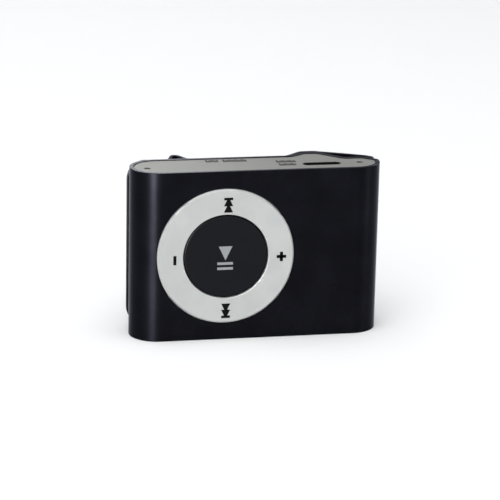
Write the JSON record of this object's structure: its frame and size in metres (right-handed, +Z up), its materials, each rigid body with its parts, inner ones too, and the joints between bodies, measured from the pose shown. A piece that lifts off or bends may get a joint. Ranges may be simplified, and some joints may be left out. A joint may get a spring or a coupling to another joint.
{
  "type": "digital audio player",
  "caption": "Pocket digital audio player with an oval extruded case, a four-way control ring around a centre button, and a hinged spring clip on its back.",
  "frame": {"origin": "bottom centre of the whole player's box, on the plane that it stands on", "axes": "+Z up, the keys face -Y, the clip is on +Y, +X runs to the right seen from the keys"},
  "size_m": [0.048, 0.015, 0.0328],
  "materials": {
    "anodised_shell": "black anodised, fine satin grain",
    "anodised_clip": "black anodised pressed sheet",
    "grey_cap": "moulded grey, fine matt",
    "screw_steel": "blackened steel",
    "white_key": "moulded white, satin gloss",
    "dark_key": "soft black",
    "inner_plastic": "moulded black",
    "board_laminate": "green solder mask",
    "chip_resin": "moulded resin",
    "tinned_steel": "tinned",
    "capacitor_ceramic": "ceramic",
    "led_resin": "resin",
    "clear_plastic": "frosted clear",
    "connector_plastic": "moulded black",
    "contact_brass": "plated",
    "slider_plastic": "moulded light grey",
    "battery_pouch": "pouch foil",
    "foam": "closed-cell foam",
    "lead_red": "insulated",
    "lead_black": "insulated",
    "pin_steel": "spring steel",
    "switch_steel": "stamped cover"
  },
  "bodies": {
    "housing": {"housing_shell": "anodised_shell", "top_end_cap": "grey_cap", "bottom_end_cap": "grey_cap", "cap_screws_top": "screw_steel", "cap_screws_bottom": "screw_steel", "pivot_seat": "inner_plastic", "hinge_trough": "inner_plastic", "main_board": "board_laminate", "control_chip": "chip_resin", "memory_chip": "chip_resin", "crystal": "tinned_steel", "board_capacitors": "capacitor_ceramic", "status_led": "led_resin", "light_pipe": "clear_plastic", "usb_socket_shell": "tinned_steel", "usb_socket_tongue": "connector_plastic", "headphone_jack": "connector_plastic", "jack_terminals": "contact_brass", "power_switch_body": "tinned_steel", "battery_cell": "battery_pouch", "battery_foam": "foam", "battery_lead_plus": "lead_red", "battery_lead_minus": "lead_black", "hinge_pin": "pin_steel", "clip_spring": "pin_steel", "tact_switch_centre": "switch_steel", "tact_switch_upper": "switch_steel", "tact_switch_lower": "switch_steel", "tact_switch_left": "switch_steel", "tact_switch_right": "switch_steel"},
    "clip": {"clip_plate": "anodised_clip", "clip_hinge_leaf": "pin_steel"},
    "ring_gimbal": {"gimbal_collar": "inner_plastic"},
    "control_ring": {"control_ring": "white_key"},
    "centre_button": {"centre_button": "dark_key"},
    "power_slider": {"power_slider": "slider_plastic"}
  },
  "joints": [
    {"name": "clip_hinge", "type": "hinge", "parent": "housing", "child": "clip", "pos_m": [0.0123, 0.00365, 0.0164], "axis": [0, 0, -1], "range_deg": [0, 5.5], "stiffness_Nm_per_rad": 0.15, "springref_deg": -11.46},
    {"name": "ring_tilt_up_down", "type": "hinge", "parent": "housing", "child": "ring_gimbal", "pos_m": [-0.0065, -0.0046, 0.0164], "axis": [1, 0, 0], "range_deg": [-1.2, 1.2], "stiffness_Nm_per_rad": 0.5},
    {"name": "ring_tilt_left_right", "type": "hinge", "parent": "ring_gimbal", "child": "control_ring", "pos_m": [-0.0065, -0.00544, 0.0164], "axis": [0, 0, 1], "range_deg": [-1.2, 1.2], "stiffness_Nm_per_rad": 0.5},
    {"name": "centre_button_press", "type": "slide", "parent": "housing", "child": "centre_button", "axis": [0, 1, 0], "range_m": [0, 0.0003], "stiffness_N_per_m": 2000},
    {"name": "power_slide", "type": "slide", "parent": "housing", "child": "power_slider", "axis": [1, 0, 0], "range_m": [0, 0.002]}
  ]
}
